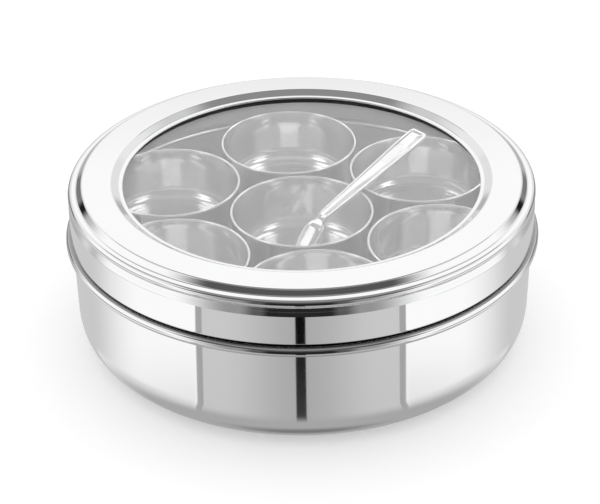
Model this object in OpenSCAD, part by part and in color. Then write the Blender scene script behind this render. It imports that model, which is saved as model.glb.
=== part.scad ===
// Round steel spice box: a bowl with a see-through lid, seven loose cups on a raised floor, and a small spoon.
// The origin is the middle of the base, +Z is up and the spoon's bowl hangs towards -Y.

/* [Body] */
// Outside diameter of the wall just under its bead
body_d = 210.6; // [190:0.2:230]
// Thickness of the steel sheet of the bowl, the lid ring and the raised floor
sheet = 0.6; // [0.4:0.05:0.8]
// How much closer to the axis the wall is where the bottom corner starts
wall_lean = 0.6; // [0:0.1:2]
// Outside radius of the rounded bottom corner
corner_r = 14.7; // [8:0.1:18]
// How far the bead that carries the lid stands out of the wall
bead_out = 3; // [2.6:0.1:3.4]
// Radius of the bead's round section
bead_r = 2.2; // [1.8:0.1:2.5]
// How deep the bead's hollow is on the inside of the wall
bead_hollow = 0.9; // [0.4:0.1:1.2]
// How far the neck above the bead is set in from the wall
neck_set = 0.3; // [0:0.05:0.8]

/* [Lid ring] */
// Height of the straight skirt
skirt_h = 15.7; // [10:0.1:22]
// Radius of the rounded rim at the lid's top edge
rim_r = 1.6; // [1.2:0.1:2]
// Depth of the groove under the rounded rim
groove_d = 1.4; // [0.8:0.1:1.6]
// Height of the flank between the groove and the skirt
groove_h = 3; // [2:0.1:5]
// Width of the shoulder inside the rounded rim
shoulder_w = 2.2; // [1:0.1:5]
// Width of the slope between the shoulder and the flat top
step_w = 2.5; // [1.5:0.1:5]
// Drop from the flat top to the shoulder
step_drop = 2.5; // [1.5:0.1:4]
// Width of the flat top
flat_w = 13.4; // [11:0.1:25]
// Width of the slope from the flat top down to the window
inner_step_w = 3.3; // [2:0.1:6]
// Drop from the flat top to the top of the window's curled edge
inner_drop = 2.2; // [1:0.1:4]
// Radius of the curled edge round the window
curl_r = 0.95; // [0.7:0.05:1.5]

/* [Window] */
// Thickness of the clear pane
pane_t = 2; // [1:0.1:4]
// How far the pane reaches under the lid ring
pane_lap = 7; // [5:0.1:8]
// Height of the gasket between the pane and the curled edge
gasket_h = 2; // [1:0.1:4]
// How far the gasket is set back from the window's edge
gasket_set = 0.5; // [0:0.1:2]
// How far the clamp ring is set back from the window's edge under the pane
clamp_set = 2.4; // [1:0.1:4]
// Width of the clamp ring's upper flange, which is welded under the flat top
flange_w = 7; // [3:0.1:8]

/* [Cups] */
// Height of a cup
cup_h = 25.7; // [18:0.1:40]
// Thickness of a cup's sheet
cup_sheet = 0.5; // [0.3:0.05:0.8]
// Outside radius of a cup's rounded bottom corner
cup_corner_r = 7; // [3:0.1:12]
// How much closer to its axis a cup's wall is where its corner starts
cup_lean = 1; // [0:0.1:3]
// Radius of the hem round a cup's rim
hem_r = 0.55; // [0.45:0.05:0.9]
// Number of cups in the ring
ring_cups = 6; // [6:1:6]
// Direction of the first cup of the ring, from +X towards +Y
ring_turn = 95; // [60:1:120]

/* [Raised floor] */
// Height of the loose raised floor that carries the cups
stand_h = 31.4; // [15:0.1:45]
// Outside radius of the raised floor's rounded edge
stand_corner_r = 3; // [1.5:0.1:6]

/* [Spoon] */
// Length of the spoon's bowl along its slope
bowl_l = 20; // [16:0.5:24]
// Width of the spoon's bowl
bowl_w = 11.6; // [8:0.1:14]
// Depth of the spoon's bowl
bowl_deep = 3.6; // [2:0.1:5]
// Length of the straight handle
handle_l = 98.5; // [80:0.5:102]
// Width of the handle at the neck
neck_w = 4.4; // [3:0.1:6]
// Width of the handle near its end
end_w = 9; // [6:0.1:12]
// Length over which the handle's end is rounded
end_round_l = 4; // [2:0.1:6]
// Thickness of the spoon's metal
spoon_t = 1.2; // [0.8:0.1:2]
// Height of the raised border round the handle's edges
border_h = 0.35; // [0.1:0.05:0.6]
// Length of the bend between the bowl and the handle
bend_l = 8; // [4:0.5:12]
// How steeply the bowl hangs down from the handle
bowl_drop = 55; // [40:1:65]
// How far the spoon is rolled about its handle, with the right edge lower
spoon_roll = 12; // [0:1:15]
// Direction of the handle, from +X towards +Y
spoon_turn = 58.9; // [55:0.1:64]
// Length of handle between the bend and the gap between the two cups that it crosses
neck_reach = 33; // [30:0.5:38]
// How far the handle's line passes to the left of that gap's middle
spoon_side = 0.7; // [-2:0.1:3]

/* [Fits] */
// Gap under each piece that is set down loose
seat_gap = 0.2; // [0.1:0.05:0.3]
// Gap between the spoon's lower edge and the rims that carry it
spoon_gap = 0.3; // [0.2:0.05:0.5]
// Gap all round between the neck and the lid's skirt
lid_gap = 0.4; // [0.3:0.05:0.8]
// Gap between the neck's edge and the lid ring above it
mouth_gap = 0.5; // [0.3:0.1:3]
// Gap between neighbouring cups
cup_gap = 2.1; // [0.5:0.1:4]
// Gap between the ring of cups and the neck
cup_wall_gap = 3; // [1:0.1:6]
// Gap between the raised floor's skirt and the edge of the flat base
stand_gap = 0.8; // [0.3:0.1:4]
// Gap all round between the pane and the clamp ring
pane_gap = 0.3; // [0.2:0.05:0.6]
// Free height between the cups' rims and the clamp ring
head_room = 11.7; // [7:0.1:25]

/* [Hidden] */
$fn = 96;

steel = "silver";
bright_steel = "gainsboro";

// Radii from the wall outwards
wall_r = body_d / 2;
low_r = wall_r - wall_lean;
neck_r = wall_r - neck_set;
bead_mid_r = wall_r + bead_out - bead_r;
lid_r = neck_r + lid_gap + sheet;

// Radii of the lid ring from outside to the window
rim_mid_r = lid_r - rim_r;
foot_r = rim_mid_r - shoulder_w;
flat_out_r = foot_r - step_w;
flat_in_r = flat_out_r - flat_w;
slope_in_r = flat_in_r - inner_step_w;
window_r = slope_in_r - 2 * curl_r;
pane_r = window_r + pane_lap;
web_r = pane_r + pane_gap;

// Radii of the loose pieces inside
cup_r = (neck_r - sheet - cup_wall_gap - cup_gap) / 3;
pitch_r = 2 * cup_r + cup_gap;
stand_r = low_r - corner_r - stand_gap;

// Heights from the base up to the flat top
stand_z = sheet + seat_gap;
cup_z = stand_z + stand_h + seat_gap;
rim_z = cup_z + cup_h;
clamp_z = rim_z + head_room;
pane_z = clamp_z + sheet;
gasket_z = pane_z + pane_t;
curl_mid_z = gasket_z + gasket_h + curl_r;
top_z = curl_mid_z + curl_r + inner_drop;

// Heights from the flat top down the outside of the lid to the bead
shoulder_z = top_z - step_drop;
rim_mid_z = shoulder_z - rim_r;
groove_z = rim_mid_z - rim_r;
skirt_z = groove_z - groove_h;
lid_z = skirt_z - skirt_h;
bead_mid_z = lid_z - seat_gap - bead_r;
mouth_z = skirt_z - mouth_gap;

// How far a bend at half of a right angle moves the sheet's inner corner along
bend_set = sheet * tan(22.5);
// Overlap that joins two shapes of one piece
join = 0.01;

// Points of an arc about a middle, from one angle to another
function arc(mid, r, from, to, steps = 12) =
    [for (i = [0 : steps]) mid + r * [cos(from + (to - from) * i / steps), sin(from + (to - from) * i / steps)]];

// Half section of a solid that stands on a rounded corner and leans out to its top
module pot_section(top_r, foot_r, h, corner) {
    mid_r = foot_r - corner;
    polygon([[0, 0], [mid_r, 0], [mid_r, corner], [foot_r, corner], [top_r, h], [0, h]]);
    intersection() {
        translate([mid_r, corner]) circle(corner);
        translate([mid_r, 0]) square(corner);
    }
}

// Half section of a sheet metal pot, open at the top
module shell_section(top_r, foot_r, h, corner, t) {
    difference() {
        pot_section(top_r, foot_r, h, corner);
        translate([0, t]) pot_section(top_r - t, foot_r - t, h, corner - t);
    }
}

module body_section() {
    difference() {
        union() {
            shell_section(wall_r, low_r, bead_mid_z, corner_r, sheet);
            translate([neck_r - sheet, bead_mid_z - join]) square([sheet, mouth_z - bead_mid_z - sheet / 2 + join]);
            translate([neck_r - sheet / 2, mouth_z - sheet / 2]) circle(sheet / 2);
            intersection() {
                translate([bead_mid_r, bead_mid_z]) circle(bead_r);
                translate([wall_r - sheet, bead_mid_z - bead_r]) square(2 * (bead_r + bead_out));
            }
        }
        translate([neck_r - sheet - bead_r + bead_hollow, bead_mid_z]) circle(bead_r);
    }
}

module body_bowl() {
    color(steel) rotate_extrude() body_section();
}

// Outer face of the lid ring from the window's slope to the skirt's edge
function lid_outer() = concat(
    [[slope_in_r, top_z - inner_drop], [flat_in_r, top_z], [flat_out_r, top_z], [foot_r, shoulder_z]],
    arc([rim_mid_r, rim_mid_z], rim_r, 90, -60),
    [[lid_r - groove_d, groove_z], [lid_r, skirt_z], [lid_r, lid_z]]);

// Inner face of the lid ring, back from the skirt's edge and round the curled edge at the window
function lid_inner() = concat(
    [[lid_r - sheet, lid_z], [lid_r - sheet, skirt_z - bend_set], [lid_r - groove_d - sheet, groove_z - bend_set]],
    arc([rim_mid_r, rim_mid_z], rim_r - sheet, -60, 90),
    [[foot_r - bend_set, shoulder_z - sheet], [flat_out_r - bend_set, top_z - sheet],
     [flat_in_r + bend_set, top_z - sheet], [slope_in_r + bend_set, top_z - inner_drop - sheet]],
    arc([window_r + curl_r, curl_mid_z], curl_r, asin(1 - sheet / curl_r), -270, 24));

module lid_ring() {
    color(steel) rotate_extrude() polygon(concat(lid_outer(), lid_inner()));
}

module window_gasket() {
    color("black") translate([0, 0, gasket_z]) difference() {
        cylinder(h = gasket_h, r = pane_r);
        translate([0, 0, -join]) cylinder(h = gasket_h + 2 * join, r = window_r + gasket_set);
    }
}

module window_pane() {
    color("lightcyan", 0.3) translate([0, 0, pane_z]) cylinder(h = pane_t, r = pane_r);
}

module pane_clamp_ring() {
    flange_z = top_z - sheet;
    color(steel) rotate_extrude() polygon([
        [window_r + clamp_set, clamp_z], [web_r + sheet, clamp_z], [web_r + sheet, flange_z - sheet],
        [web_r + flange_w, flange_z - sheet], [web_r + flange_w, flange_z], [web_r, flange_z],
        [web_r, pane_z], [window_r + clamp_set, pane_z]]);
}

module raised_floor() {
    color(steel) translate([0, 0, stand_z + stand_h]) mirror([0, 0, 1])
        rotate_extrude() shell_section(stand_r, stand_r, stand_h, stand_corner_r, sheet);
}

module cup() {
    hem_mid_r = cup_r - hem_r;
    wall_top_r = hem_mid_r + cup_sheet / 2;
    color(bright_steel) translate([0, 0, cup_z]) rotate_extrude() {
        shell_section(wall_top_r, wall_top_r - cup_lean, cup_h - hem_r, cup_corner_r, cup_sheet);
        translate([hem_mid_r, cup_h - hem_r]) circle(hem_r);
    }
}

// A cup of the ring, counted from the back one towards -X
module ring_cup(index) {
    turn = ring_turn + index * 360 / ring_cups;
    translate(pitch_r * [cos(turn), sin(turn), 0]) cup();
}

module cup_centre() cup();
module cup_back() ring_cup(0);
module cup_back_left() ring_cup(1);
module cup_front_left() ring_cup(2);
module cup_front() ring_cup(3);
module cup_front_right() ring_cup(4);
module cup_back_right() ring_cup(5);

// Spoon: cross sections set along a spine that starts at the bowl's tip
spoon_l = bowl_l + handle_l;
// The bend starts this far before the bowl's end
bend_lead = 3;
bend_from = bowl_l - bend_lead;
bend_end = bend_from + bend_l;
round_from = spoon_l - end_round_l;
// Share of the handle over which it widens
widen_share = 0.8;
// Places across a cross section, from the left edge at -1 to the right edge at 1
across = [-1, -0.8, -0.66, -0.33, 0, 0.33, 0.66, 0.8, 1];
border_from = 0.7;
// How square the bowl's outline is, from 2 for an ellipse
bowl_blunt = 2.6;
tip_half_w = 0.4;
end_least = 0.7;

// Even steps from one length to another, without the first
function steps(from, to, count) = [for (i = [1 : count]) from + (to - from) * i / count];
stations = concat([0], steps(0, bend_end, 22), steps(bend_end, round_from, 10), steps(round_from, spoon_l, 4));
last_station = len(stations) - 1;
neck_station = 22;

// Slope of the spine, steep along the bowl and level along the handle
function spine_drop(l) = bowl_drop * (1 - min(1, max(0, (l - bend_from) / bend_l)));
// Places of the spine's stations, in the handle's own plane
function spine(i = 0, at = [0, 0]) = i == last_station ? [at] :
    let (drop = spine_drop((stations[i] + stations[i + 1]) / 2))
        concat([at], spine(i + 1, at + (stations[i + 1] - stations[i]) * [cos(drop), sin(drop)]));

function bowl_share(l) = l > bowl_l ? 0 : pow(1 - pow(abs(2 * l / bowl_l - 1), bowl_blunt), 1 / bowl_blunt);
function widening(l) = min(1, max(0, (l - bowl_l) / (handle_l * widen_share)));
function end_trim(l) = sqrt(1 - end_least * pow(max(0, (l - round_from) / end_round_l), 2));
function handle_half(l) = l < bowl_l / 2 ? 0 : (neck_w + (end_w - neck_w) * widening(l)) / 2 * end_trim(l);
function half_width(l) = max(tip_half_w, bowl_w / 2 * bowl_share(l), handle_half(l));
// Height of the bowl's arch over the spine
function arch(l, v) = bowl_deep * pow(bowl_share(l), 2) * (1 - v * v);
function in_border(l, v) = l > bend_end && (abs(v) > border_from || l > round_from);
function upper(l, v) = arch(l, v) + (in_border(l, v) ? border_h : 0);

// One closed cross section: over the upper face from left to right and back under it
function section_2d(l) = concat(
    [for (v = across) [-v * half_width(l), upper(l, v)]],
    [for (v = across) [v * half_width(l), arch(l, v) - spoon_t]]);

function spoon_points(path) = [
    for (i = [0 : last_station]) let (drop = spine_drop(stations[i]))
        for (p = section_2d(stations[i]))
            [path[i].x - p.y * sin(drop), p.x, path[i].y + p.y * cos(drop)]];

// Two triangles over four corners
function quad(a, b, c, d) = [[a, b, c], [a, c, d]];

module spoon_solid(path) {
    ring = 2 * len(across);
    last = last_station * ring;
    sides = [for (i = [0 : last_station - 1], j = [0 : ring - 1]) let (at = i * ring, k = (j + 1) % ring)
        each quad(at + j, at + ring + j, at + ring + k, at + k)];
    tip = [for (j = [0 : len(across) - 2]) each quad(j, j + 1, ring - 2 - j, ring - 1 - j)];
    end = [for (j = [0 : len(across) - 2])
        each quad(last + j + 1, last + j, last + ring - 1 - j, last + ring - 2 - j)];
    polyhedron(spoon_points(path), concat(sides, tip, end));
}

module spoon() {
    path = spine();
    neck = path[neck_station];
    gap_turn = ring_turn + (ring_cups - 1) * 360 / ring_cups;
    edge_drop = handle_half(bend_end + neck_reach) * sin(spoon_roll) + spoon_t * cos(spoon_roll);
    color(bright_steel)
        translate(pitch_r / 2 * [cos(gap_turn), sin(gap_turn), 0] + [0, 0, rim_z + spoon_gap + edge_drop])
            rotate([0, 0, spoon_turn])
                translate([-neck_reach, spoon_side, 0])
                    rotate([spoon_roll, 0, 0])
                        translate([-neck.x, 0, -neck.y])
                            spoon_solid(path);
}

body_bowl();
lid_ring();
window_gasket();
window_pane();
pane_clamp_ring();
raised_floor();
cup_centre();
cup_back();
cup_back_left();
cup_front_left();
cup_front();
cup_front_right();
cup_back_right();
spoon();
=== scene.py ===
"""Dresses the round spice box: turned steel with rounded bends, a clear pane, a black gasket and a spoon."""

import math
from types import SimpleNamespace

import bmesh
import bpy
from mathutils import Matrix, Vector


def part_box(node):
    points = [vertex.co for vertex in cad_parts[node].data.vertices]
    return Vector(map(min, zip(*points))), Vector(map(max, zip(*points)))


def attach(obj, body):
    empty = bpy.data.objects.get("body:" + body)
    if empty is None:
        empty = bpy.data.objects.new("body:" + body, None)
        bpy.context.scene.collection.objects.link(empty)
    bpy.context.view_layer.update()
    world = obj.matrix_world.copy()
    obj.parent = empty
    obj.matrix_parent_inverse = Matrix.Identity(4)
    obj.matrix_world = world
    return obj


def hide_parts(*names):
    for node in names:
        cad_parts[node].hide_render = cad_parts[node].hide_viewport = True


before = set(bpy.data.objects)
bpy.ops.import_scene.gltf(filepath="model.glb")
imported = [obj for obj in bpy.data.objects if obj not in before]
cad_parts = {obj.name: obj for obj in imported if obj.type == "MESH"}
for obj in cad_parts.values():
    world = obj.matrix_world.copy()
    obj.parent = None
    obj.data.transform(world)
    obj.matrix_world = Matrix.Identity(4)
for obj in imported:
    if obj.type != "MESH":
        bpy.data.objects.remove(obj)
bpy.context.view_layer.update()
scene = bpy.context.scene

# Lengths are in millimetres and angles in degrees, and places come from the frame
MM = 0.001

# Sheet metal: a bend takes at most a share of the straights beside it, and has a guard point on each side
SHEET = 0.6
CUP_SHEET = 0.5
BEND = 1.35
BEND_SHARE = 0.4
BEND_GUARD = 1.3
INSIDE_BEND = 0.4
INSIDE_STEPS = 3

# Meshes: the weld is in metres, and a closed section stops a little short of its start
SEGMENTS = 256
STAND_SEGMENTS = 192
CUP_SEGMENTS = 160
WELD = 1e-7
CLOSE = 0.1

# Bowl
BEAD_OUT = 3.0
BEAD_R = 2.2
BEAD_TURN = 62
BEAD_LEAD = 1.2
BEAD_FILLET = 0.7
FILLET_UNDER = 0.5
FILLET_OVER = 0.4
BEAD_HOLLOW = 0.9
HOLLOW_MOUTH = 1.9
HOLLOW_BED = 0.8
HOLLOW_BEND = 0.8
HOLLOW_LEAD = 0.3
SEAM_GAP = 0.2
NECK_SET = 0.3
LIP_LEAD = 0.2
WALL_LEAN = 0.6
CORNER_REACH = 19.5
CORNER_POWER = 2.5

# Lid ring
RIM_R = 1.9
RIM_END = -50
RIM_LEAD = 0.3
RIM_HOLLOW_LOW = 0.4
RIM_HOLLOW_HIGH = 0.5
GROOVE_D = 1.4
GROOVE_H = 3.4
GROOVE_BEND = 1.0
SHOULDER_W = 1.9
STEP_W = 2.5
STEP_DROP = 2.5
FLAT_W = 13.4
INNER_STEP_W = 3.3
INNER_DROP = 2.2
LIP_HALF = 0.95
NOSE_R = 0.4
NOSE_FROM = 262
NOSE_END = 92
SKIRT_LIFT = 0.9
SKIRT_LEAD = 0.8
SKIRT_BEND = 0.6
CUT_LEAD = 0.03

# Gasket
GASKET_SET = 0.1
GASKET_LEAN = 1.2
GASKET_UPRIGHT = 0.5
GASKET_BEND = 0.2

# Clamp ring
CLAMP_GAP = 0.3
CLAMP_LIP = 4.9
CLAMP_BEND = 0.15

# Raised floor
STAND_CORNER_R = 3.0
STAND_LEAD = 0.3

# Cups
CUP_CORNER_R = 7.0
CUP_LEAN = 1.0
CUP_LEAD = 0.4
FOOT_LEAN = 0.01
HEM_R = 0.7
HEM_FROM = 205
HEM_END = -25
HEM_LEAD = 0.9
WALL_SHARES = (0.02, 0.04, 0.97, 0.985, 1.0)
CUPS = {
    "cup_centre": "centre_cup",
    "cup_back": "back_cup",
    "cup_back_left": "back_left_cup",
    "cup_front_left": "front_left_cup",
    "cup_front": "front_cup",
    "cup_front_right": "front_right_cup",
    "cup_back_right": "back_right_cup",
}

# Spoon
SCOOP_L = 20.0
SCOOP_W = 11.6
SCOOP_DEEP = 3.4
SCOOP_BLUNT = 2.6
SCOOP_TAPER = 1.2
SCOOP_TILT = 0.85
SCOOP_DROP = 49.0
CROWN_POWER = 4.0
HANDLE_L = 98.5
NECK_W = 4.4
END_W = 9.0
END_ROUND_L = 4.0
END_TRIM = 0.7
WIDEN_SHARE = 0.8
WIDTH_BLEND = 4
LEAST_HALF = 0.4
SPOON_T = 1.2
EDGE_FROM = 0.95
BEND_LEAD = 3.0
BEND_L = 8.0

# Places on the spoon along its length from the scoop's tip
SPOON_L = SCOOP_L + HANDLE_L
BEND_FROM = SCOOP_L - BEND_LEAD
BEND_END = BEND_FROM + BEND_L
HEEL_FROM = SCOOP_L - 4.5
HEEL_END = SCOOP_L + 1.5
BORDER_FROM = BEND_END - 7.0
SWELL_FROM = SCOOP_L + 20.0
SWELL_END = SPOON_L - 35.0
SHRINK_FROM = SPOON_L - 30.0
SHRINK_END = SPOON_L - 4.0
ROUND_FROM = SPOON_L - END_ROUND_L
END_PANEL = SPOON_L - 3.2
END_BORDER = SPOON_L - 2.3
CLOSE_FROM = SPOON_L - 0.7

# The handle's borders and sunk panel, across the handle from -1 at its left edge to 1 at its right
BORDER_H = 0.85
BORDER_LEFT = -0.8
PANEL_LEFT = -0.66
PANEL_RIGHT = -0.2
PANEL_SWELL = 0.55
PANEL_SHRINK = 0.2
BORDER_RIGHT = 0.72

# How the spoon lies on the two cups
SPOON_ROLL = 12.0
SPOON_TURN = 58.9
SPOON_SIDE = 0.7
SPOON_GAP = 0.3
NECK_REACH = 33.0


# Places from the frame
def span(node):
    """Lowest and highest corner of a CAD node, in millimetres."""
    low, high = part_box(node)
    return low / MM, high / MM


def outer_radius(node):
    low, high = span(node)
    return (high.x - low.x) / 2


def middle(node):
    low, high = span(node)
    return (low + high) / 2


# Lines and meshes
def arc(mid_r, mid_z, radius, start, end, steps):
    """Points of an arc about a middle, from one angle to another."""
    angles = [math.radians(start + (end - start) * i / steps) for i in range(steps + 1)]
    return [(mid_r + radius * math.cos(a), mid_z + radius * math.sin(a)) for a in angles]


def rounded(corners, radius=BEND, steps=6):
    """A line through the corners with each bend rounded, and a guard point before and after each bend."""
    points = [Vector(c) for c in corners]
    line = [points[0]]
    for before, corner, after in zip(points, points[1:], points[2:]):
        back = (before - corner).normalized()
        on = (after - corner).normalized()
        half_turn = (math.pi - back.angle(on)) / 2
        shorter = min((before - corner).length, (after - corner).length)
        reach = min(radius * math.tan(half_turn), BEND_SHARE * shorter)
        line.append(corner + back * reach * BEND_GUARD)
        for i in range(steps + 1):
            t = i / steps
            line.append(corner + back * reach * (1 - t) ** 2 + on * reach * t**2)
        line.append(corner + on * reach * BEND_GUARD)
    line.append(points[-1])
    return [tuple(p) for p in line]


def smooth_mesh(name, shape):
    """A smooth mesh from the shape, with doubled points joined and its faces turned outwards."""
    bmesh.ops.remove_doubles(shape, verts=shape.verts, dist=WELD)
    bmesh.ops.recalc_face_normals(shape, faces=shape.faces)
    mesh = bpy.data.meshes.new(name)
    shape.to_mesh(mesh)
    shape.free()
    mesh.polygons.foreach_set("use_smooth", [True] * len(mesh.polygons))
    return mesh


def linked(name, data):
    """A new object in the scene."""
    thing = bpy.data.objects.new(name, data)
    scene.collection.objects.link(thing)
    return thing


def turned(name, section, closed=True, segments=SEGMENTS, at=(0.0, 0.0), stretches=()):
    """An object turned from a section of (radius, height) points. Stretches take the further finishes."""
    shape = bmesh.new()
    rings = []
    for i in range(segments):
        angle = 2 * math.pi * i / segments
        across = Vector((math.cos(angle), math.sin(angle), 0))
        rings.append([shape.verts.new((across * r + Vector((0, 0, z))) * MM) for r, z in section])
    count = len(section)
    for ring, following in zip(rings, rings[1:] + rings[:1]):
        for k in range(count if closed else count - 1):
            m = (k + 1) % count
            face = shape.faces.new((ring[k], following[k], following[m], ring[m]))
            taken = [n for n, (start, end) in enumerate(stretches, 1) if start <= k < end]
            face.material_index = max(taken, default=0)
    piece = linked(name, smooth_mesh(name, shape))
    piece.location = (at[0] * MM, at[1] * MM, 0)
    return piece


# Sections
def soft_corner(side_r, base_z, steps=36):
    """A corner that starts to bend gently, from the base out to the wall."""
    power = 2 / CORNER_POWER
    angles = [math.pi / 2 * i / steps for i in range(steps + 1)]
    shares = [(math.sin(a) ** power, math.cos(a) ** power) for a in angles]
    return [(side_r - CORNER_REACH * (1 - r), base_z + CORNER_REACH * (1 - z)) for r, z in shares]


def bowl_section():
    """The outside with the rim, the neck's inside, the hollow behind the bead and the lining below."""
    wall_r = outer_radius("body_bowl") - BEAD_OUT
    low_r = wall_r - WALL_LEAN
    neck_r = wall_r - NECK_SET
    inner_r = neck_r - SHEET
    hollow_r = inner_r + BEAD_HOLLOW
    lip = SHEET / 2
    lip_z = span("body_bowl")[1].z - lip
    bead_z = span("lid_ring")[0].z - SEAM_GAP - BEAD_R
    under = bead_z - BEAD_R
    over = bead_z + BEAD_R
    outer = [(0, 0)] + soft_corner(low_r, 0) + [(wall_r, under - BEAD_LEAD)]
    outer += arc(wall_r + BEAD_FILLET, under - FILLET_UNDER, BEAD_FILLET, 180, 180 - BEAD_TURN, steps=5)
    outer += arc(wall_r + BEAD_OUT - BEAD_R, bead_z, BEAD_R, -BEAD_TURN, BEAD_TURN, steps=16)
    outer += arc(neck_r + BEAD_FILLET, over + FILLET_OVER, BEAD_FILLET, 180 + BEAD_TURN, 180, steps=5)
    outer += [(neck_r, over + BEAD_LEAD), (neck_r, lip_z - LIP_LEAD)]
    outer += arc(neck_r - lip, lip_z, lip, 0, 180, steps=8)
    neck = [(inner_r, lip_z - LIP_LEAD), (inner_r, over)]
    hollow = [
        (inner_r, bead_z + HOLLOW_MOUTH),
        (hollow_r, bead_z + HOLLOW_BED),
        (hollow_r, bead_z - HOLLOW_BED),
        (inner_r, bead_z - HOLLOW_MOUTH),
    ]
    below = [(inner_r, under - HOLLOW_LEAD)] + soft_corner(low_r - SHEET, SHEET)[::-1] + [(0, SHEET)]
    return outer, neck, rounded(hollow, HOLLOW_BEND), below


def lid_places():
    """Radii and heights of the lid ring's bends, from its box."""
    low, high = span("lid_ring")
    place = SimpleNamespace(r=outer_radius("lid_ring"), low=low.z + SKIRT_LIFT, top=high.z)
    place.rim_r = place.r - RIM_R
    place.foot_r = place.rim_r - SHOULDER_W
    place.flat_out = place.foot_r - STEP_W
    place.flat_in = place.flat_out - FLAT_W
    place.slope_in = place.flat_in - INNER_STEP_W
    place.lip_mid = place.slope_in - LIP_HALF
    place.lip_z = place.top - INNER_DROP
    place.shoulder_z = place.top - STEP_DROP
    place.rim_z = place.shoulder_z - RIM_R
    place.groove_z = place.rim_z - RIM_R
    place.skirt_z = place.groove_z - GROOVE_H
    place.cut = Vector((place.r - GROOVE_D / 2, (place.groove_z + place.skirt_z) / 2))
    place.down = Vector((GROOVE_D, place.skirt_z - place.groove_z)).normalized()
    place.cut_in = place.cut + Vector((place.down.y, -place.down.x)) * SHEET
    return place


def lid_top_section():
    """The lip round the window, flat top, steps, rim and groove, down to a cut under the groove."""
    p = lid_places()
    top = [
        (p.lip_mid, p.lip_z),
        (p.slope_in, p.lip_z),
        (p.flat_in, p.top),
        (p.flat_out, p.top),
        (p.foot_r, p.shoulder_z),
        (p.rim_r - RIM_LEAD, p.shoulder_z),
    ]
    rim = arc(p.rim_r, p.rim_z, RIM_R, 90, RIM_END, steps=20)
    groove = [rim[-1], (p.r - GROOVE_D, p.groove_z), p.cut - p.down * CUT_LEAD]
    outer = rounded(top) + rim + rounded(groove, GROOVE_BEND)
    cut = [tuple(p.cut), tuple(p.cut_in), tuple(p.cut_in - p.down * CUT_LEAD)]
    inner = [
        (p.r - GROOVE_D - SHEET, p.groove_z - SHEET / 3),
        (p.rim_r + RIM_HOLLOW_LOW, p.rim_z - SHEET),
        (p.rim_r + RIM_HOLLOW_HIGH, p.shoulder_z - 2 * SHEET),
        (p.rim_r, p.shoulder_z - SHEET),
        (p.foot_r - SHEET / 2, p.shoulder_z - SHEET),
        (p.flat_out - SHEET / 2, p.top - SHEET),
        (p.flat_in + SHEET / 2, p.top - SHEET),
        (p.slope_in + SHEET / 3, p.lip_z - SHEET),
        (p.lip_mid, p.lip_z - 2 * NOSE_R),
    ]
    nose_r = p.lip_mid - LIP_HALF + NOSE_R
    nose = arc(nose_r, p.lip_z - NOSE_R, NOSE_R, NOSE_FROM, NOSE_END, steps=14)
    return outer + cut + rounded(inner, INSIDE_BEND, INSIDE_STEPS) + nose


def lid_skirt_section():
    """The skirt, from the cut down to its rounded lower edge."""
    p = lid_places()
    lead_z = p.low + SKIRT_LEAD
    outer = [p.cut + p.down * CUT_LEAD, (p.r, p.skirt_z), (p.r, lead_z)]
    edge = arc(p.r - SHEET / 2, p.low + SHEET / 2, SHEET / 2, 0, -180, steps=8)
    inner = [(p.r - SHEET, lead_z), (p.r - SHEET, p.skirt_z), p.cut_in + p.down * CUT_LEAD]
    sides = rounded(outer, SKIRT_BEND) + edge + rounded(inner, INSIDE_BEND, INSIDE_STEPS)
    return [tuple(p.cut)] + sides + [tuple(p.cut_in)]


def gasket_section():
    """A ring that leans back towards the pane, with rounded edges."""
    low, high = span("window_gasket")
    outer = outer_radius("window_gasket")
    inner = lid_places().lip_mid + GASKET_SET
    corners = [
        (inner, high.z),
        (outer, high.z),
        (outer, low.z),
        (inner + GASKET_LEAN, low.z),
        (inner, high.z - GASKET_UPRIGHT),
        (inner, high.z - CLOSE),
    ]
    return rounded(corners, GASKET_BEND, INSIDE_STEPS)


def clamp_section():
    """A lip under the pane, a web round it and a flange under the lid's flat top."""
    low, high = span("pane_clamp_ring")
    flange_r = outer_radius("pane_clamp_ring")
    pane_z = span("window_pane")[0].z
    web_r = outer_radius("window_pane") + CLAMP_GAP
    lip_r = web_r - CLAMP_LIP
    corners = [
        (lip_r, low.z),
        (web_r + SHEET, low.z),
        (web_r + SHEET, high.z - SHEET),
        (flange_r, high.z - SHEET),
        (flange_r, high.z),
        (web_r, high.z),
        (web_r, pane_z),
        (lip_r, pane_z),
        (lip_r, low.z + CLOSE),
    ]
    return rounded(corners, CLAMP_BEND, INSIDE_STEPS)


def stand_section():
    """An upturned pan with a rounded edge."""
    low, high = span("raised_floor")
    r = outer_radius("raised_floor")
    mid_r = r - STAND_CORNER_R
    mid_z = high.z - STAND_CORNER_R
    outer = [(r, low.z), (r, mid_z - STAND_LEAD)]
    outer += arc(mid_r, mid_z, STAND_CORNER_R, 0, 90, steps=12)
    outer += [(mid_r - STAND_LEAD, high.z), (0, high.z)]
    inner = [(0, high.z - SHEET), (mid_r - STAND_LEAD, high.z - SHEET)]
    inner += arc(mid_r, mid_z, STAND_CORNER_R - SHEET, 90, 0, steps=12)
    inner += [(r - SHEET, mid_z - STAND_LEAD), (r - SHEET, low.z)]
    return outer + inner


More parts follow.
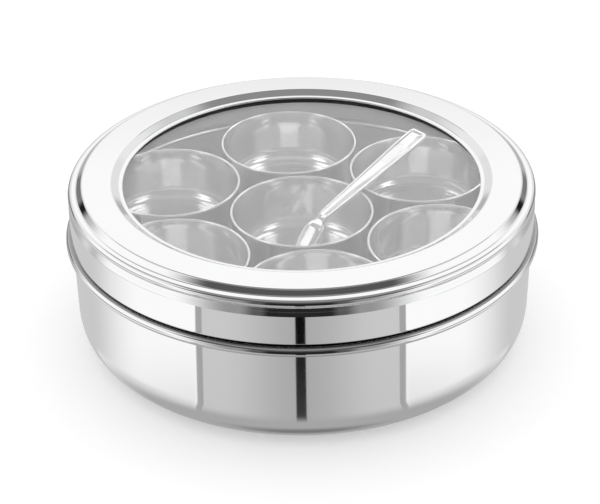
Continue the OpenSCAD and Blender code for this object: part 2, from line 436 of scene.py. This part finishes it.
def cup_section():
    """The inside, the hem and the outside. Points near the wall's ends keep its reflections straight."""
    low, high = span("cup_centre")
    hem_r = outer_radius("cup_centre") - HEM_R
    hem_z = high.z - HEM_R
    wall_top = hem_r + CUP_SHEET / 2
    foot = wall_top - CUP_LEAN
    mid_r = foot - CUP_CORNER_R
    mid_z = low.z + CUP_CORNER_R
    floor_z = low.z + CUP_SHEET
    inner = [(0, floor_z), (mid_r - CUP_LEAD, floor_z)]
    inner += arc(mid_r, mid_z, CUP_CORNER_R - CUP_SHEET, -90, 0, steps=20)
    wall_low = Vector((foot - CUP_SHEET, mid_z))
    wall_high = Vector((wall_top - CUP_SHEET, hem_z - HEM_R))
    inner += [tuple(wall_low.lerp(wall_high, share)) for share in WALL_SHARES]
    hem = arc(hem_r, hem_z, HEM_R, HEM_FROM, HEM_END, steps=16) + [(wall_top, hem_z - HEM_LEAD)]
    outer = [(foot + FOOT_LEAN, mid_z + CUP_LEAD)]
    outer += arc(mid_r, mid_z, CUP_CORNER_R, 0, -90, steps=16)
    outer += [(mid_r - CUP_LEAD, low.z), (0, low.z)]
    return inner, hem, outer


# Spoon
def share_between(value, start, end):
    """How far a value has come from a start to an end, from 0 to 1."""
    return min(1.0, max(0.0, (value - start) / (end - start)))


def smooth(value, start, end):
    t = share_between(value, start, end)
    return t * t * (3 - 2 * t)


def round_off(value, start, end):
    """A quarter circle, from 1 at the start to 0 at the end."""
    return math.sqrt(1 - share_between(value, start, end) ** 2)


def spine_drop(along):
    return math.radians(SCOOP_DROP) * (1 - share_between(along, BEND_FROM, BEND_END))


def scoop_share(along):
    """Width of the scoop as a share of its widest."""
    if along >= SCOOP_L:
        return 0.0
    return (1 - abs(2 * along / SCOOP_L - 1) ** SCOOP_BLUNT) ** (1 / SCOOP_BLUNT)


def heel_share(along):
    """Height of the scoop's crown as a share of its highest. It fades softly into the handle."""
    if along < SCOOP_L / 2:
        return scoop_share(along) ** SCOOP_TAPER
    return 1 - smooth(along, HEEL_FROM, HEEL_END)


def handle_half(along):
    if along < SCOOP_L / 2:
        return 0.0
    widening = share_between(along, SCOOP_L, SCOOP_L + HANDLE_L * WIDEN_SHARE)
    trim = math.sqrt(1 - END_TRIM * share_between(along, ROUND_FROM, SPOON_L) ** 2)
    return (NECK_W + (END_W - NECK_W) * widening) / 2 * trim


def spoon_half_width(along):
    scoop = SCOOP_W / 2 * scoop_share(along)
    handle = handle_half(along)
    return max(LEAST_HALF, (scoop**WIDTH_BLEND + handle**WIDTH_BLEND) ** (1 / WIDTH_BLEND))


def border_height(along, v):
    """Height over the handle's sunk panel, which drops steeply at the left and rises gently to the right."""
    swell = PANEL_SWELL * smooth(along, SWELL_FROM, SWELL_END)
    shrink = PANEL_SHRINK * smooth(along, SHRINK_FROM, SHRINK_END)
    left = 1 - smooth(v, BORDER_LEFT, PANEL_LEFT)
    right = share_between(v, PANEL_RIGHT + swell - shrink, BORDER_RIGHT)
    near_end = smooth(along, END_PANEL, END_BORDER)
    return BORDER_H * max(left, right, near_end)


def spoon_heights(along, v):
    """Heights of the upper and lower face at a place across, from -1 at the left edge to 1 at the right."""
    arch = heel_share(along) * (SCOOP_DEEP * (1 - abs(v) ** CROWN_POWER) + SCOOP_TILT * v)
    thin = round_off(abs(v), EDGE_FROM, 1.0) * round_off(along, CLOSE_FROM, SPOON_L)
    half = SPOON_T / 2 * thin
    mid = arch - SPOON_T / 2
    border = border_height(along, v) * smooth(along, BORDER_FROM, BEND_END) * thin
    return mid + half + border, mid - half


def spoon_spine(stations):
    """Places of the stations on the bent spine, seen from the side and measured from the bend's end."""
    at = Vector((0, 0))
    path = []
    for here, after in zip(stations, stations[1:] + [SPOON_L]):
        path.append(at.copy())
        drop = spine_drop((here + after) / 2)
        at += (after - here) * Vector((math.cos(drop), math.sin(drop)))
    neck = path[min(range(len(path)), key=lambda i: abs(stations[i] - BEND_END))]
    return [spot - neck for spot in path]


def spoon_place():
    """Where the spoon lies: across the rims of the middle and the right-back cup."""
    roll = math.radians(SPOON_ROLL)
    edge_drop = handle_half(BEND_END + NECK_REACH) * math.sin(roll) + SPOON_T * math.cos(roll)
    crossing = (middle("cup_centre") + middle("cup_back_right")) / 2
    crossing.z = span("cup_centre")[1].z + SPOON_GAP + edge_drop
    lie = Matrix.Translation(crossing * MM) @ Matrix.Rotation(math.radians(SPOON_TURN), 4, "Z")
    shift = Matrix.Translation(Vector((-NECK_REACH, SPOON_SIDE, 0)) * MM)
    return lie @ shift @ Matrix.Rotation(roll, 4, "X")


def spoon_piece(step=0.5, across=64):
    """One closed skin over stations along the spoon. The scoop takes the second finish."""
    count = round(SPOON_L / step)
    stations = [SPOON_L * i / count for i in range(count + 1)]
    places = [-1 + 2 * j / across for j in range(across + 1)]
    shape = bmesh.new()
    rings = []
    for along, spot in zip(stations, spoon_spine(stations)):
        drop = spine_drop(along)
        half = spoon_half_width(along)
        heights = [spoon_heights(along, v) for v in places]
        loop = [(-v * half, upper) for v, (upper, lower) in zip(places, heights)]
        loop += [(-v * half, lower) for v, (upper, lower) in zip(places[::-1], heights[::-1])]
        ring = []
        for side, height in loop:
            x = spot.x - height * math.sin(drop)
            z = spot.y + height * math.cos(drop)
            ring.append(shape.verts.new(Vector((x, side, z)) * MM))
        rings.append(ring)
    for along, ring, following in zip(stations, rings, rings[1:]):
        for j in range(len(ring)):
            k = (j + 1) % len(ring)
            face = shape.faces.new((ring[j], following[j], following[k], ring[k]))
            face.material_index = int(along < HEEL_END)
    shape.faces.new(rings[0])
    shape.faces.new(rings[-1][::-1])
    mesh = smooth_mesh("serving_spoon", shape)
    mesh.transform(spoon_place())
    return linked("serving_spoon", mesh)


# Materials: reliefs are in metres, and scales are per metre
LINE_SCALE = 1800.0
LINE_RELIEF = 0.00002
SMUDGE_SCALE = 22.0
SMUDGE_RANGE = (0.35, 0.7)
SMUDGE_DULLING = 1.8
# Painted shade in the seam under the lid's skirt: the near-black tone and duller finish painted on the bowl,
# how far the band reaches below and above the seam, and how softly each end fades
SEAM_SHADE_TONE = (0.01, 0.01, 0.01, 1)
SEAM_SHADE_ROUGHNESS = 0.5
SEAM_SHADE_UNDER = 0.45
SEAM_SHADE_OVER = 2.0
SEAM_SHADE_SOFT_LOW = 0.3
SEAM_SHADE_SOFT_HIGH = 1.2
RUBBER_TONES = ((0.006, 0.006, 0.006, 1), (0.02, 0.02, 0.02, 1))
RUBBER_ROUGHNESS = 0.55
GRAIN_SCALE = 900.0
GRAIN_DEPTH = 0.3
GRAIN_RELIEF = 0.0001
DUST_SCALE = 40.0
PANE_TONES = ((0.98, 0.975, 0.975, 1), (0.99, 0.99, 0.99, 1))
PANE_TRANSMISSION = 0.86
PANE_IOR = 1.38
HAZE_SCALE = 30.0


class Nodes:
    """A node tree with short ways to add, fill and link nodes."""

    def __init__(self, tree):
        self.tree = tree
        tree.nodes.clear()

    def fill(self, node, inputs):
        for key, value in inputs.items():
            socket = node.inputs[key]
            if isinstance(value, bpy.types.NodeSocket):
                self.tree.links.new(value, socket)
            else:
                socket.default_value = value

    def add(self, kind, inputs=None, **settings):
        node = self.tree.nodes.new(kind)
        for key, value in settings.items():
            setattr(node, key, value)
        self.fill(node, inputs or {})
        return node

    def math(self, operation, a, b=0.0, c=0.0):
        return self.add("ShaderNodeMath", {0: a, 1: b, 2: c}, operation=operation).outputs[0]

    def mix(self, factor, a, b, kind="FLOAT"):
        return self.add("ShaderNodeMix", {"Factor": factor, "A": a, "B": b}, data_type=kind).outputs["Result"]

    def ramp(self, value, low, high, to_low, to_high):
        """A value carried smoothly from one range to another."""
        ranges = {"From Min": low, "From Max": high, "To Min": to_low, "To Max": to_high}
        node = self.add("ShaderNodeMapRange", {"Value": value, **ranges}, interpolation_type="SMOOTHSTEP")
        return node.outputs["Result"]

    def band(self, value, low, high, soft_low, soft_high):
        """1 between two values and 0 outside them, with the width over which each end fades."""
        rise = self.ramp(value, low - soft_low / 2, low + soft_low / 2, 0.0, 1.0)
        fall = self.ramp(value, high - soft_high / 2, high + soft_high / 2, 1.0, 0.0)
        return self.math("MULTIPLY", rise, fall)

    def noise(self, place, scale, detail, roughness=0.5, dimensions="3D"):
        inputs = {"Vector": place, "Scale": scale, "Detail": detail, "Roughness": roughness}
        return self.add("ShaderNodeTexNoise", inputs, noise_dimensions=dimensions).outputs["Fac"]

    def bump(self, height, depth, relief):
        inputs = {"Height": height, "Strength": depth, "Distance": relief}
        return self.add("ShaderNodeBump", inputs).outputs["Normal"]


def new_material(name):
    material = bpy.data.materials.new(name)
    material.use_nodes = True
    nodes = Nodes(material.node_tree)
    shader = nodes.add("ShaderNodeBsdfPrincipled")
    nodes.add("ShaderNodeOutputMaterial", {"Surface": shader.outputs["BSDF"]})
    place = nodes.add("ShaderNodeTexCoord").outputs["Object"]
    return material, nodes, shader, place


def steel(name, light, dull, roughness, line_depth, painted_shade_heights=None):
    """Polished sheet with fine turned lines, faint smudges, and perhaps painted shade: a near-black, duller
    band between two heights.
    """
    material, nodes, shader, place = new_material(name)
    parts = nodes.add("ShaderNodeSeparateXYZ", {"Vector": place})
    flat = nodes.add("ShaderNodeCombineXYZ", {"X": parts.outputs["X"], "Y": parts.outputs["Y"]})
    radius = nodes.add("ShaderNodeVectorMath", {0: flat.outputs[0]}, operation="LENGTH").outputs["Value"]
    line_place = nodes.add("ShaderNodeCombineXYZ", {"X": radius, "Y": parts.outputs["Z"]})
    lines = nodes.noise(line_place.outputs[0], LINE_SCALE, detail=3.0, dimensions="2D")
    smudge = nodes.noise(place, SMUDGE_SCALE, detail=5.0, roughness=0.6)
    gloss = nodes.ramp(smudge, *SMUDGE_RANGE, roughness, roughness * SMUDGE_DULLING)
    tone = nodes.mix(smudge, light, dull, "RGBA")
    # Painted shade: between the two heights the tone is mixed to near black and the finish dulled, standing
    # in for the shade inside the seam
    if painted_shade_heights:
        height = nodes.math("DIVIDE", parts.outputs["Z"], MM)
        painted_shade = nodes.band(height, *painted_shade_heights, SEAM_SHADE_SOFT_LOW, SEAM_SHADE_SOFT_HIGH)
        tone = nodes.mix(painted_shade, tone, SEAM_SHADE_TONE, "RGBA")
        gloss = nodes.mix(painted_shade, gloss, SEAM_SHADE_ROUGHNESS)
    bump = nodes.bump(lines, line_depth, LINE_RELIEF)
    nodes.fill(shader, {"Metallic": 1.0, "Roughness": gloss, "Base Color": tone, "Normal": bump})
    return material


def rubber():
    """Black rubber with a fine grain and a little dust."""
    material, nodes, shader, place = new_material("gasket_rubber")
    grain = nodes.noise(place, GRAIN_SCALE, detail=4.0)
    dust = nodes.noise(place, DUST_SCALE, detail=3.0)
    tone = nodes.mix(dust, *RUBBER_TONES, "RGBA")
    bump = nodes.bump(grain, GRAIN_DEPTH, GRAIN_RELIEF)
    nodes.fill(shader, {"Roughness": RUBBER_ROUGHNESS, "Base Color": tone, "Normal": bump})
    return material


def clear():
    """A clear pane with a white haze, which is the part that doesn't let light through."""
    material, nodes, shader, place = new_material("clear_pane")
    tone = nodes.mix(nodes.noise(place, HAZE_SCALE, detail=4.0), *PANE_TONES, "RGBA")
    nodes.fill(shader, {"Transmission Weight": PANE_TRANSMISSION, "IOR": PANE_IOR, "Roughness": 0.0})
    nodes.fill(shader, {"Base Color": tone})
    return material


# Pieces
def dress(piece, body, nodes, slot, *materials):
    for material in materials:
        piece.data.materials.append(material)
    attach(piece, body)
    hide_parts(*nodes)


# The bowl is painted dark around the seam under the lid's skirt: painted shade in the gap between the skirt
# and the bead
seam_z = span("lid_ring")[0].z
seam_painted_shade = (seam_z - SEAM_SHADE_UNDER, seam_z + SKIRT_LIFT + SEAM_SHADE_OVER)
bowl_steel = steel(
    "polished_steel", (0.96, 0.96, 0.965, 1), (0.93, 0.93, 0.935, 1), 0.03, 0.02, painted_shade_heights=seam_painted_shade)
lid_steel = steel("lid_steel", (0.97, 0.97, 0.975, 1), (0.94, 0.94, 0.945, 1), 0.03, 0.02)
inner_steel = steel("inner_steel", (0.93, 0.93, 0.935, 1), (0.89, 0.89, 0.895, 1), 0.5, 0.02)
# The cups' rolled hems take a lighter tone than their walls (0.98 against 0.84), a painted highlight that
# keeps the rims white; the hem is also a little rougher
cup_steel = steel("cup_steel", (0.84, 0.835, 0.84, 1), (0.8, 0.795, 0.8, 1), 0.07, 0.004)
hem_steel = steel("hem_steel", (0.98, 0.98, 0.98, 1), (0.96, 0.96, 0.965, 1), 0.12, 0.004)
spoon_steel = steel("spoon_steel", (0.97, 0.97, 0.975, 1), (0.95, 0.95, 0.955, 1), 0.12, 0.003)
scoop_steel = steel("spoon_bowl_steel", (0.98, 0.98, 0.98, 1), (0.97, 0.97, 0.975, 1), 0.14, 0.003)

outside, neck, hollow, below = bowl_section()
bowl_line = outside + neck + hollow + below
lining_reach = (len(outside), len(bowl_line))
hollow_start = len(outside) + len(neck)
hollow_reach = (hollow_start, hollow_start + len(hollow))
bowl = turned("deep_bowl", bowl_line, closed=False, stretches=(lining_reach, hollow_reach))
dress(bowl, "bowl", ["body_bowl"], "polished_steel", bowl_steel, inner_steel, hem_steel)

lid_top = turned("lid_top", lid_top_section())
dress(lid_top, "lid", ["lid_ring"], "lid_steel", lid_steel)
lid_skirt = turned("lid_skirt", lid_skirt_section())
dress(lid_skirt, "lid", ["lid_ring"], "lid_steel", lid_steel)
clamp = turned("clamp_frame", clamp_section())
dress(clamp, "lid", ["pane_clamp_ring"], "inner_steel", inner_steel)

stand = turned("cup_stand", stand_section(), segments=STAND_SEGMENTS)
dress(stand, "floor", ["raised_floor"], "inner_steel", inner_steel)
cup_inside, cup_hem, cup_outside = cup_section()
cup_line = cup_inside + cup_hem + cup_outside
hem_reach = (len(cup_inside), len(cup_inside) + len(cup_hem) - 1)
for cup, cup_body in CUPS.items():
    spot = middle(cup)
    piece = turned(
        "turned_" + cup, cup_line, closed=False, segments=CUP_SEGMENTS, at=spot.xy, stretches=(hem_reach,))
    dress(piece, cup_body, [cup], "cup_steel", cup_steel, hem_steel)
dress(spoon_piece(), "spoon", ["spoon"], "spoon_steel", spoon_steel, scoop_steel)

gasket = turned("soft_gasket", gasket_section())
dress(gasket, "lid", ["window_gasket"], "gasket_rubber", rubber())
for unmirrored in (lid_top, clamp, gasket):
    unmirrored.visible_glossy = False
    unmirrored.visible_transmission = False
pane_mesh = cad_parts["window_pane"].data
pane_mesh.materials.clear()
pane_mesh.materials.append(clear())


# Studio
# Cards that show in the steel: a name, the azimuth from the camera's side and the elevation, each with
# from, to and softness, and the brightness. The later cards stand in front of the earlier ones.
CARDS = (
    ("back side", (124, 166, 10), (14, 46, 10), 0.84),
    ("side roof", (88, 140, 20), (44, 64, 14), 0.62),
    ("roof", (-90, 270, 1), (60, 120, 10), 0.26),
    ("front roof", (-90, 69, 26), (30, 61, 5), 0.09),
    ("front grey", (-90, 46, 30), (-31, 30, 4), 0.3),
    ("camera shade", (-90, 24, 8), (-31, 36, 4), 0.1),
    ("camera gap", (-90, 16, 5), (-31, 30, 3), 0.018),
    ("back corner", (141, 157, 8), (41, 64, 4), 0.12),
    ("side grey", (118, 180, 24), (-30, 20, 12), 0.45),
    ("side back", (147, 270, 6), (4, 26, 6), 0.78),
    ("groove grey", (62, 114, 14), (-24, -5, 6), 0.38),
    ("side stand", (137, 152, 6), (-9, 6, 6), 0.2),
    ("side stand core", (129, 138, 6), (4, 13, 6), 0.01),
    ("back panel", (107, 270, 50), (-60, -22, 8), 0.6),
    ("front panel", (-90, 48, 0.6), (-60, -31, 0.6), 0.6),
    ("front panel middle", (-90, 20, 40), (-60, -31, 0.6), 0.42),
    ("front panel edge", (48, 51.5, 0.5), (-60, -31, 0.6), 0.38),
    ("front slit", (-90, 2.4, 0.4), (-52, -15, 14), 0.004),
    ("low side", (52, 130, 4), (-70, -36, 4), 0.8),
    ("ground", (-90, 270, 1), (-120, -44, 22), 0.4),
    ("back ground", (150, 270, 16), (-70, -44, 16), 0.2),
    ("table shade", (-90, 270, 1), (-120, -76, 20), 0.2),
)

# The lamps as they show through the pane, in a dimmer room
ROOM = 0.45
LAMPS = (
    ("front shade", (-90, 44, 14), (12, 64, 8), 0.34),
    ("side wash", (60, 140, 20), (18, 34, 8), 0.74),
    ("side strip", (50, 78, 10), (33, 47, 5), 1.6),
    ("side lamp", (66, 100, 8), (49, 63, 5), 2.4),
    ("back strip", (147, 270, 16), (21, 35, 4), 1.3),
    ("back high lamp", (134, 270, 8), (37, 50, 3), 2.4),
    ("back low lamp", (100, 270, 10), (0, 17, 4), 1.8),
)

# The studio is turned a little, and its cards lean inwards below an elevation
STUDIO_TURN = -1.5
LOW_FROM = -31.0
LOW_SPREAD = 0.011

# Table, in metres
TABLE_HALF = 6.0
TABLE_DROP = 0.0002
TABLE_TONE = (0.93, 0.93, 0.93, 1)
TABLE_GLOW = 0.21


def card_light(nodes, azimuth, elevation, base, cards):
    """The base light with each card laid over it in turn."""
    light = base
    for _, (left, right, side_soft), (bottom, top, up_soft), brightness in cards:
        sideways = nodes.band(azimuth, left, right, side_soft, side_soft)
        upright = nodes.band(elevation, bottom, top, up_soft, up_soft)
        light = nodes.mix(nodes.math("MULTIPLY", sideways, upright), light, brightness)
    return light


def studio_world():
    """Plain white for camera and diffuse rays, the cards for mirror rays, and the lamps behind the pane."""
    world = bpy.data.worlds.new("studio")
    scene.world = world
    world.use_nodes = True
    nodes = Nodes(world.node_tree)
    direction = nodes.add("ShaderNodeTexCoord").outputs["Generated"]
    parts = nodes.add("ShaderNodeSeparateXYZ", {"Vector": direction})
    towards = nodes.math("MULTIPLY", parts.outputs["Y"], -1.0)
    around = nodes.math("DEGREES", nodes.math("ARCTAN2", parts.outputs["X"], towards))
    elevation = nodes.math("DEGREES", nodes.math("ARCSINE", parts.outputs["Z"]))
    beside = nodes.math("ABSOLUTE", nodes.math("SUBTRACT", around, STUDIO_TURN))
    depth = nodes.math("MINIMUM", nodes.math("SUBTRACT", elevation, LOW_FROM), 0.0)
    azimuth = nodes.math("MULTIPLY", beside, nodes.math("MULTIPLY_ADD", depth, LOW_SPREAD, 1.0))
    path = nodes.add("ShaderNodeLightPath")
    mirrored = card_light(nodes, azimuth, elevation, 1.0, CARDS)
    light = nodes.mix(path.outputs["Is Glossy Ray"], 1.0, mirrored)
    within = nodes.math("GREATER_THAN", path.outputs["Transmission Depth"], 0.5)
    light = nodes.mix(within, light, card_light(nodes, azimuth, elevation, ROOM, LAMPS))
    shade = nodes.add("ShaderNodeBackground", {"Color": (1, 1, 1, 1), "Strength": light})
    nodes.add("ShaderNodeOutputWorld", {"Surface": shade.outputs["Background"]})


def studio_floor():
    """A white table, lifted to white where the camera sees it."""
    corners = [(-1, -1), (1, -1), (1, 1), (-1, 1)]
    mesh = bpy.data.meshes.new("floor")
    mesh.from_pydata([(x * TABLE_HALF, y * TABLE_HALF, -TABLE_DROP) for x, y in corners], [], [(0, 1, 2, 3)])
    floor = linked("floor", mesh)
    material = bpy.data.materials.new("white_table")
    material.use_nodes = True
    nodes = Nodes(material.node_tree)
    paper = nodes.add("ShaderNodeBsdfDiffuse", {"Color": TABLE_TONE})
    path = nodes.add("ShaderNodeLightPath")
    seen = nodes.math("ADD", path.outputs["Is Camera Ray"], path.outputs["Is Transmission Ray"])
    glow = nodes.add("ShaderNodeEmission", {"Strength": nodes.math("MULTIPLY", seen, TABLE_GLOW)})
    both = nodes.add("ShaderNodeAddShader", {0: paper.outputs[0], 1: glow.outputs[0]})
    nodes.add("ShaderNodeOutputMaterial", {"Surface": both.outputs[0]})
    mesh.materials.append(material)
    floor.visible_glossy = False


# Camera, fitted to the ellipses in the photo
CAMERA_AWAY = 900.0
CAMERA_ELEVATION = 28.564
CAMERA_PITCH = 2.289
CAMERA_YAW = -0.082
CAMERA_ROLL = 0.8
FOCAL_PIXELS = 1981.355
IMAGE_WIDTH = 600
SENSOR_WIDTH = 36.0
CLIP_START = 0.01


def photo_camera():
    data = bpy.data.cameras.new("photo_camera")
    data.sensor_width = SENSOR_WIDTH
    data.lens = FOCAL_PIXELS / IMAGE_WIDTH * SENSOR_WIDTH
    data.clip_start = CLIP_START
    camera = linked("photo_camera", data)
    rise = math.radians(CAMERA_ELEVATION)
    tilt = math.radians(CAMERA_ELEVATION + CAMERA_PITCH)
    yaw = math.radians(CAMERA_YAW)
    roll = math.radians(CAMERA_ROLL)
    ahead = Vector((math.sin(yaw) * math.cos(tilt), math.cos(yaw) * math.cos(tilt), -math.sin(tilt)))
    level = ahead.cross(Vector((0, 0, 1))).normalized()
    upward = level.cross(ahead)
    right = level * math.cos(roll) - upward * math.sin(roll)
    above = level * math.sin(roll) + upward * math.cos(roll)
    top_z = span("lid_ring")[1].z
    place = Vector((0, -CAMERA_AWAY * math.cos(rise), CAMERA_AWAY * math.sin(rise) + top_z)) * MM
    turn = Matrix((right, above, -ahead)).transposed().to_4x4()
    camera.matrix_world = Matrix.Translation(place) @ turn
    scene.camera = camera


studio_world()
studio_floor()
photo_camera()
scene.view_settings.view_transform = "Standard"
scene.cycles.max_bounces = 24
scene.cycles.glossy_bounces = 14
